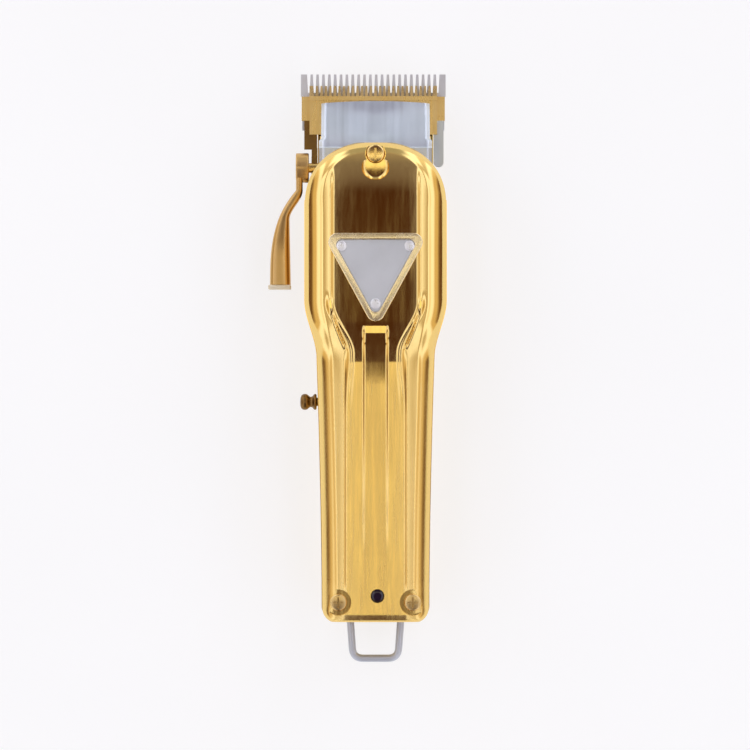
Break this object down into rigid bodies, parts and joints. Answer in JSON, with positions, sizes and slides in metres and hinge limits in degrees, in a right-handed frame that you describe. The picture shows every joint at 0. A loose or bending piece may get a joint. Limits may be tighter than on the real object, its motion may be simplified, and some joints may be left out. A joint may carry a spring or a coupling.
{
  "type": "hair clipper",
  "caption": "Cordless metal hair clipper with a toothed blade set, side taper lever, slide switch, domed lid with a triangular badge, and a wire hanging loop.",
  "frame": {"origin": "on the flat underside of the base, below the middle of the housing, the clipper lying on its back", "axes": "+Z out of the lid's face, +Y along the housing towards the blades, +X to the side away from the taper lever"},
  "size_m": [0.0554, 0.1828, 0.0413],
  "materials": {
    "gold_shell": "polished gold plating",
    "gold_trim": "polished gold plating",
    "dark_gold": "satin gold plating",
    "lever_gold": "satin gold plating",
    "brushed_steel": "lengthwise brushed",
    "blade_steel": "ground",
    "badge_grey": "satin",
    "bright_steel": "bright",
    "wire_steel": "bright wire",
    "black_plastic": "matt",
    "dark_lens": "gloss",
    "white_plastic": "moulded",
    "ivory": "gloss",
    "board_green": "lacquered board",
    "cell_blue": "shrink film",
    "can_nickel": "nickel plated",
    "rubber_black": "moulded rubber",
    "wire_red": "wire insulation"
  },
  "bodies": {
    "housing": {"base_shell": "gold_shell", "lid": "gold_shell", "nose_plate": "brushed_steel", "badge_frame": "gold_trim", "badge_plate": "badge_grey", "badge_screws": "bright_steel", "lid_screw_top": "gold_trim", "lid_screws_tail": "gold_trim", "indicator_lens": "dark_lens", "indicator_led": "white_plastic", "circuit_board": "board_green", "charge_socket": "black_plastic", "battery_cell": "cell_blue", "battery_cradle": "black_plastic", "battery_straps": "white_plastic", "motor_can": "can_nickel", "motor_end_cap": "black_plastic", "motor_bracket": "white_plastic", "motor_screws": "bright_steel", "motor_sleeve": "rubber_black", "motor_leads": "wire_red", "tension_spring": "brushed_steel", "spring_screws": "bright_steel", "lever_pivot_screw": "gold_trim", "switch_body": "black_plastic"},
    "lever": {"taper_lever": "lever_gold", "lever_tip": "ivory", "eccentric_pin": "bright_steel", "lever_washer": "black_plastic"},
    "comb": {"comb_blade": "blade_steel", "comb_carrier": "gold_trim", "comb_screws": "bright_steel", "carrier_arm": "brushed_steel", "lever_link": "dark_gold"},
    "cutter": {"cutter_blade": "gold_trim", "drive_follower": "white_plastic", "follower_screws": "bright_steel"},
    "rotor": {"motor_shaft": "bright_steel", "eccentric_cam": "white_plastic", "crank_pin": "bright_steel"},
    "switch": {"switch_knob": "gold_trim", "switch_slider": "black_plastic"},
    "loop": {"hanging_loop": "wire_steel"}
  },
  "joints": [
    {"name": "lever_pivot", "type": "hinge", "parent": "housing", "child": "lever", "pos_m": [-0.0224, 0.072, 0.018], "axis": [-1, 0, 0], "range_deg": [0, 35]},
    {"name": "comb_slide", "type": "slide", "parent": "housing", "child": "comb", "axis": [0, 1, 0], "range_m": [-0.0016, 0]},
    {"name": "cutter_slide", "type": "slide", "parent": "housing", "child": "cutter", "axis": [1, 0, 0], "range_m": [-0.0012, 0.0012]},
    {"name": "motor_spin", "type": "hinge", "parent": "housing", "child": "rotor", "pos_m": [0, 0.0645, 0.019], "axis": [0, 1, 0], "continuous": true},
    {"name": "switch_slide", "type": "slide", "parent": "housing", "child": "switch", "axis": [0, 1, 0], "range_m": [0, 0.004]},
    {"name": "loop_hinge", "type": "hinge", "parent": "housing", "child": "loop", "pos_m": [0, -0.066, 0.0165], "axis": [1, 0, 0], "range_deg": [-30, 40]}
  ],
  "couplings": [
    {"joint": "lever_pivot", "follows": "comb_slide", "rad_per_m": -380.36}
  ]
}
